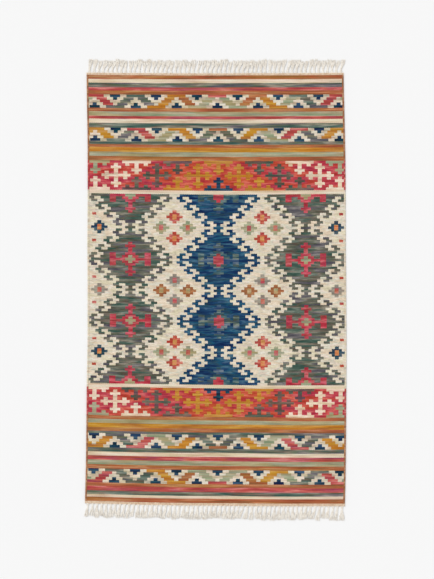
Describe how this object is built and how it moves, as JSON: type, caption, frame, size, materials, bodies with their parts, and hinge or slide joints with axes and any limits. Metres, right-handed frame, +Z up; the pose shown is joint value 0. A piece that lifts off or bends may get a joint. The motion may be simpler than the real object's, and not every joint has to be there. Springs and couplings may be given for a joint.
{
  "type": "flat-woven area rug",
  "caption": "Flat-woven wool kilim rug: striped ends with zigzag and cross bands, hooked medallion field and knotted cotton fringe.",
  "frame": {"origin": "middle of the rug's underside, on the floor", "axes": "+Z up through the cloth, X across the rug along the weft, +Y along the warps towards the upper end"},
  "size_m": [0.9069, 1.621, 0.005],
  "materials": {
    "rust_wool": "heathered weft-faced wool",
    "crimson_wool": "heathered weft-faced wool",
    "red_wool": "heathered weft-faced wool",
    "rose_wool": "heathered weft-faced wool",
    "cream_wool": "undyed weft-faced wool",
    "slate_wool": "heathered weft-faced wool",
    "sage_wool": "heathered weft-faced wool",
    "ochre_wool": "heathered weft-faced wool",
    "navy_wool": "heathered weft-faced wool",
    "blue_wool": "heathered weft-faced wool",
    "taupe_wool": "heathered weft-faced wool",
    "heading_cotton": "twined cotton",
    "warp_cotton": "undyed plied cotton"
  },
  "bodies": {
    "root": {"blue_medallions": "blue_wool", "cream_crosses": "cream_wool", "cream_ground_edges": "cream_wool", "cream_ground_left": "cream_wool", "cream_ground_right": "cream_wool", "crimson_medallion_centres": "crimson_wool", "crimson_medallion_crosses": "crimson_wool", "fringe_lower": "warp_cotton", "fringe_upper": "warp_cotton", "heading_cord_lower": "heading_cotton", "heading_cord_upper": "heading_cotton", "lower_cream_stripes": "cream_wool", "lower_crimson_stripes": "crimson_wool", "lower_cross_band_ground": "crimson_wool", "lower_ochre_stripes": "ochre_wool", "lower_rust_stripes": "rust_wool", "lower_sage_stripes": "sage_wool", "lower_slate_stripes": "slate_wool", "lower_zigzag_cores": "navy_wool", "lower_zigzag_ochre_ribbon": "ochre_wool", "lower_zigzag_points": "cream_wool", "lower_zigzag_rust_ribbon": "rust_wool", "lower_zigzag_sage_ribbon": "sage_wool", "lower_zigzag_slate_ribbon": "slate_wool", "navy_crosses": "navy_wool", "navy_flowers": "navy_wool", "ochre_crosses": "ochre_wool", "ochre_flower_centres": "ochre_wool", "red_dots": "red_wool", "red_flowers": "red_wool", "rose_flower_centres": "rose_wool", "rust_flowers": "rust_wool", "sage_crosses": "sage_wool", "sage_flower_centres": "sage_wool", "sage_flowers": "sage_wool", "sage_medallion_centres": "sage_wool", "selvedges_cream": "cream_wool", "selvedges_crimson": "crimson_wool", "selvedges_rust": "rust_wool", "slate_crosses": "slate_wool", "slate_flowers": "slate_wool", "slate_medallions_left": "slate_wool", "slate_medallions_right": "slate_wool", "taupe_medallion_crosses": "taupe_wool", "upper_cream_stripes": "cream_wool", "upper_crimson_stripes": "crimson_wool", "upper_cross_band_ground": "crimson_wool", "upper_ochre_stripes": "ochre_wool", "upper_rust_stripes": "rust_wool", "upper_sage_stripes": "sage_wool", "upper_slate_stripes": "slate_wool", "upper_zigzag_cores": "navy_wool", "upper_zigzag_ochre_ribbon": "ochre_wool", "upper_zigzag_points": "cream_wool", "upper_zigzag_rust_ribbon": "rust_wool", "upper_zigzag_sage_ribbon": "sage_wool", "upper_zigzag_slate_ribbon": "slate_wool", "warp_bundles": "warp_cotton", "zigzag_crimson_ribbon": "crimson_wool"}
  },
  "joints": []
}
